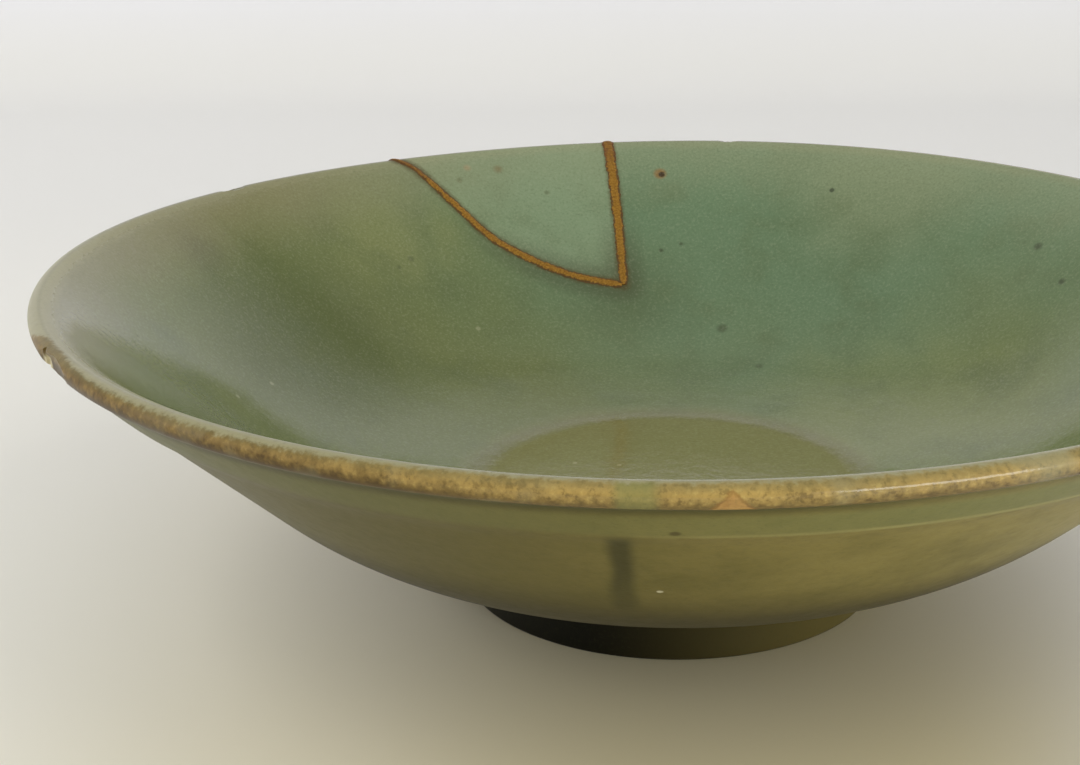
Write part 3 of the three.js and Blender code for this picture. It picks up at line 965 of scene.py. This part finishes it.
    def marks(self, glaze):
        """The spots, the smear on the front wall, and the stains in the nicks."""
        for inside, radius, azimuth, size, fade, share, tint in MARKS:
            mask = self.near(surface_point(radius, azimuth, inside), size, fade)
            glaze = self.mix(self.times(mask, share), glaze, tint)
        smear_side = self.band(self.scaled(self.middle, 1.6, self.x), -5.1, -2.6, 0.8)
        smear = self.times(smear_side, self.band(self.radius, 60.0, 77.8, 1.6))
        smear = self.times(smear, self.ramp(self.y, -1.0, 1.0, 1.0, 0.0))
        smear = self.times(smear, self.math("SUBTRACT", 1.0, self.inside))
        smear = self.times(smear, self.ramp(self.radius, 58.0, 72.0, 0.45, 0.85))
        glaze = self.mix(smear, glaze, SMEAR_COLOUR)
        for centre, size, fade, tint in NICK_MARKS:
            glaze = self.mix(self.near(centre, size, fade), glaze, tint)
        return glaze

    def relief(self):
        """Faint throwing rings, waves in the glaze and pinholes."""
        rings = self.math("SINE", self.scaled(self.wide, 5.0, self.times(self.along, 1.7)))
        normal = self.bump(rings, 0.003)
        normal = self.bump(self.middle, 0.08, normal)
        normal = self.bump(self.small, 0.03, normal)
        return self.bump(self.noise(0.4, 2.0, 0.6), 0.012, normal)


def gilded_lacquer(name):
    """Gold powder on dark brown lacquer, which shows round the gold and where the gold is worn."""
    m = Material(name)
    along = m.attribute("along")
    grain, worn = m.noise(0.35, 3.0, 0.7), m.noise(1.6, 3.0, 0.65)
    edge = m.scaled(grain, 0.4, m.scaled(worn, 0.9, m.attribute("inset")))
    gold = m.ramp(edge, 0.6, 0.84)
    near_rim = m.times(m.ramp(along, -8.5, -2.5), m.ramp(worn, 0.35, 0.6, 0.45, 1.0))
    gold = m.times(gold, m.math("SUBTRACT", 1.0, m.times(near_rim, 0.8)))
    lacquer = m.mix(near_rim, LACQUER, LACQUER_AT_RIM)
    powder = m.mix(m.ramp(grain, 0.3, 0.7), POWDER_DARK, POWDER_PALE)
    m.put(m.shader.inputs["Base Color"], m.mix(gold, lacquer, powder))
    m.put(m.shader.inputs["Metallic"], m.times(gold, 0.7))
    m.put(m.shader.inputs["Roughness"], m.ramp(gold, 0.0, 1.0, 0.6, 0.5))
    m.put(m.shader.inputs["Normal"], m.bump(worn, 0.12, m.bump(grain, 0.04)))
    return m.material


# The setting

def backdrop():
    """A pale floor that rises behind in one smooth curve."""
    front, back, top, radius, side = -2.4, 0.5, 0.7, 0.1, 2.4
    turns = np.linspace(0, np.pi / 2, 25)
    line = [(front, 0.0)]
    line += [(back - radius + radius * np.sin(t), radius - radius * np.cos(t)) for t in turns]
    line.append((back, top))
    points = [(x, y, z) for x in (-side, side) for y, z in line]
    count = len(line)
    faces = [(k, count + k, count + k + 1, k + 1) for k in range(count - 1)]
    floor = new_object("backdrop", points, faces)
    for face in floor.data.polygons:
        face.use_smooth = True
    floor.data.materials.append(pale_paint())


def pale_paint():
    """The floor's cream white in front, cooler behind, and less bright high on the wall, with painted
    shade in front of the foot.
    """
    m = Material("pale_paint")
    cloud = m.noise(260.0, 2.0)
    behind = m.ramp(m.scaled(cloud, 120.0, m.y), -20.0, 330.0)
    front = m.mix(m.ramp(m.scaled(cloud, 60.0, m.x), -80.0, 20.0), FLOOR_LEFT, FLOOR_MIDDLE)
    front = m.mix(m.ramp(m.x, 20.0, 85.0), front, FLOOR_RIGHT)
    # Painted shade: a darker, yellower patch on the floor in front of the foot
    shade_near_foot = m.times(m.ramp(m.radius, 60.0, 105.0, 0.6, 0.0), m.band(m.x, -20.0, 45.0, 20.0))
    front = m.mix(shade_near_foot, front, FLOOR_PAINTED_SHADE_NEAR_FOOT)
    away = m.ramp(m.radius, 190.0, 380.0)
    shade = m.mix(m.math("MAXIMUM", behind, away), front, FLOOR_AWAY)
    shade = m.mix(m.ramp(m.z, 5.0, 60.0), shade, WALL_LOW)
    shade = m.mix(m.ramp(m.z, 260.0, 600.0), shade, WALL_HIGH)
    m.put(m.shader.inputs["Base Color"], shade)
    m.shader.inputs["Roughness"].default_value = PAINT_ROUGHNESS
    m.shader.inputs["Specular IOR Level"].default_value = PAINT_LEVEL
    return m.material


def area_light(name, place, size, power, tint, mirrored):
    lamp = bpy.data.lights.new(name, "AREA")
    lamp.shape = "RECTANGLE"
    lamp.size, lamp.size_y = size
    lamp.energy = power
    lamp.color = tint
    made = bpy.data.objects.new(name, lamp)
    bpy.context.scene.collection.objects.link(made)
    made.location = place
    made.visible_glossy = mirrored
    aim = Vector(LIGHTS_TARGET) - Vector(place)
    made.rotation_euler = aim.to_track_quat("-Z", "Y").to_euler()


def daylight():
    """Soft light from all round, a large soft box high at either side, and a low one like a window."""
    world = bpy.data.worlds.new("daylight")
    bpy.context.scene.world = world
    world.use_nodes = True
    tree = world.node_tree
    background = tree.nodes["Background"]
    background.inputs["Color"].default_value = SKY_TINT
    split = tree.nodes.new("ShaderNodeSeparateXYZ")
    tree.links.new(tree.nodes.new("ShaderNodeTexCoord").outputs["Generated"], split.inputs[0])
    sideways, ahead, upwards = split.outputs

    def math(operation, *values):
        made = tree.nodes.new("ShaderNodeMath")
        made.operation = operation
        for socket, value in zip(made.inputs, values):
            if isinstance(value, bpy.types.NodeSocket):
                tree.links.new(value, socket)
            else:
                socket.default_value = value
        return made.outputs[0]

    low = math("POWER", math("SUBTRACT", 1.0, math("ABSOLUTE", upwards)), 1.5)
    side = math("MULTIPLY", math("MULTIPLY", sideways, sideways), low)
    front = math("MULTIPLY", math("MAXIMUM", math("MULTIPLY", ahead, -1.0), 0.0), low)
    strength = math("MULTIPLY_ADD", side, SKY_AT_SIDES - SKY_OVERHEAD, SKY_OVERHEAD)
    strength = math("MULTIPLY_ADD", front, SKY_IN_FRONT - SKY_OVERHEAD, strength)
    back = math("MAXIMUM", ahead, 0.0)
    strength = math("MULTIPLY_ADD", back, SKY_BEHIND - SKY_OVERHEAD, strength)
    tree.links.new(strength, background.inputs["Strength"])
    for box in SOFT_BOXES:
        area_light(*box)


def photo_camera():
    """The photograph's camera, looking down at the bowl from in front."""
    yaw, pitch, roll = np.radians(CAMERA_TURNS)
    forward = np.array([np.sin(yaw) * np.cos(pitch), np.cos(yaw) * np.cos(pitch), -np.sin(pitch)])
    level = np.array([np.cos(yaw), -np.sin(yaw), 0.0])
    upright = np.cross(level, forward)
    right = np.cos(roll) * level + np.sin(roll) * upright
    up = np.cos(roll) * upright - np.sin(roll) * level
    data = bpy.data.cameras.new("photo_camera")
    data.sensor_fit = "HORIZONTAL"
    data.sensor_width = SENSOR_WIDTH
    data.lens = LENS
    data.clip_start = 0.01
    data.dof.use_dof = False
    camera = bpy.data.objects.new("photo_camera", data)
    bpy.context.scene.collection.objects.link(camera)
    columns = np.eye(4)
    columns[:3, 0], columns[:3, 1], columns[:3, 2] = right, up, -forward
    columns[:3, 3] = np.array(CAMERA_PLACE) * MM
    camera.matrix_world = Matrix(columns.tolist())
    bpy.context.scene.camera = camera


def build():
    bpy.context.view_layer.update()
    photo_camera()
    backdrop()
    daylight()
    bpy.context.scene.view_settings.view_transform = "Standard"

    cracks = [Crack(smooth_line(line, 200)) for line in (STRAIGHT_CRACK, CURVED_CRACK)]
    body = whole_bowl("celadon_bowl")
    for nick in NICKS:
        cut(body, nick_cutter(*nick), "DIFFERENCE")
    sherd = new_object("set_in_sherd", [], [])
    sherd.data = body.data.copy()
    cut(body, sherd_cutter("cutter"), "DIFFERENCE")
    cut(sherd, sherd_cutter("cutter"), "INTERSECT")
    seam = gold_seam(cracks)

    for piece in (body, sherd):
        finish_glazed(piece, cracks)
    finish_piece(body, Glaze("celadon_glaze", False).material, "bowl_body")
    finish_piece(sherd, Glaze("sherd_glaze", True).material, "mended_sherd")
    finish_piece(seam, gilded_lacquer("gilded_lacquer"), "gold_seam")


build()
